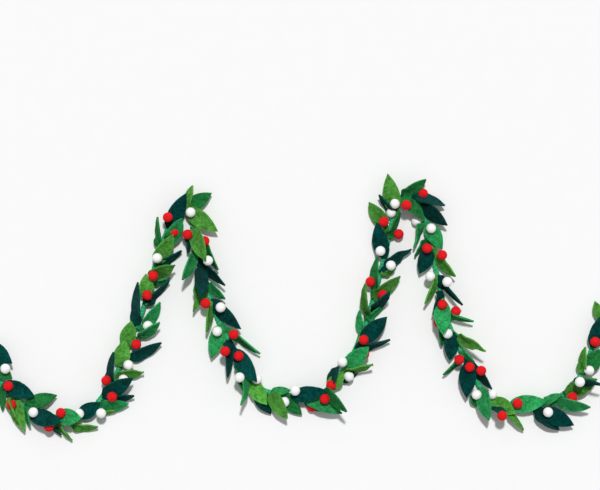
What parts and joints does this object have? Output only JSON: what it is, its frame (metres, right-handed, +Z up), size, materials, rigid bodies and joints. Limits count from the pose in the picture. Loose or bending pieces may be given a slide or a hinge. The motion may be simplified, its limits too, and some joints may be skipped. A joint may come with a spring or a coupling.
{
  "type": "felt garland",
  "caption": "Felt garland laid in waves: a wound wool cord sewn all along with pointed felt leaves in greens and round felt berries in red and white",
  "frame": {"origin": "the middle of the bounding box in plan, on the surface that the garland lies on", "axes": "+X runs to the right along the strand's waves, +Y up the picture, +Z up off the surface"},
  "size_m": [0.9202, 0.3876, 0.0523],
  "materials": {
    "cord_felt": "matte felt",
    "leaf_teal": "matte felt",
    "leaf_emerald": "matte felt",
    "leaf_kelly": "matte felt",
    "leaf_grass": "matte felt",
    "berry_red": "matte felt",
    "berry_white": "matte felt"
  },
  "bodies": {
    "root": {"cord": "cord_felt", "sprig_01": "leaf_teal", "sprig_02": "leaf_teal", "sprig_03": "leaf_grass", "sprig_04": "leaf_teal", "sprig_05": "leaf_emerald", "sprig_06": "leaf_teal", "sprig_07": "leaf_emerald", "sprig_08": "leaf_teal", "sprig_09": "leaf_teal", "sprig_10": "leaf_grass", "sprig_11": "leaf_grass", "sprig_12": "leaf_emerald", "sprig_13": "leaf_grass", "sprig_14": "leaf_grass", "sprig_15": "leaf_grass", "sprig_16": "leaf_kelly", "sprig_17": "leaf_teal", "sprig_18": "leaf_grass", "sprig_19": "leaf_grass", "sprig_20": "leaf_kelly", "sprig_21": "leaf_teal", "sprig_22": "leaf_grass", "sprig_23": "leaf_teal", "sprig_24": "leaf_emerald", "sprig_25": "leaf_teal", "sprig_26": "leaf_kelly", "sprig_27": "leaf_grass", "sprig_28": "leaf_grass", "sprig_29": "leaf_teal", "sprig_30": "leaf_kelly", "sprig_31": "leaf_emerald", "sprig_32": "leaf_grass", "sprig_33": "leaf_teal", "sprig_34": "leaf_emerald", "sprig_35": "leaf_teal", "sprig_36": "leaf_grass", "sprig_37": "leaf_grass", "sprig_38": "leaf_teal", "sprig_39": "leaf_teal", "sprig_40": "leaf_grass", "sprig_41": "leaf_grass", "sprig_42": "leaf_kelly", "sprig_43": "leaf_teal", "sprig_44": "leaf_emerald", "sprig_45": "leaf_teal", "sprig_46": "leaf_grass", "sprig_47": "leaf_emerald", "sprig_48": "leaf_emerald", "sprig_49": "leaf_teal", "sprig_50": "leaf_teal", "sprig_51": "leaf_emerald", "sprig_52": "leaf_grass", "sprig_53": "leaf_emerald", "sprig_54": "leaf_teal", "sprig_55": "leaf_emerald", "sprig_56": "leaf_grass", "sprig_57": "leaf_kelly", "sprig_58": "leaf_teal", "sprig_59": "leaf_grass"}
  },
  "joints": []
}
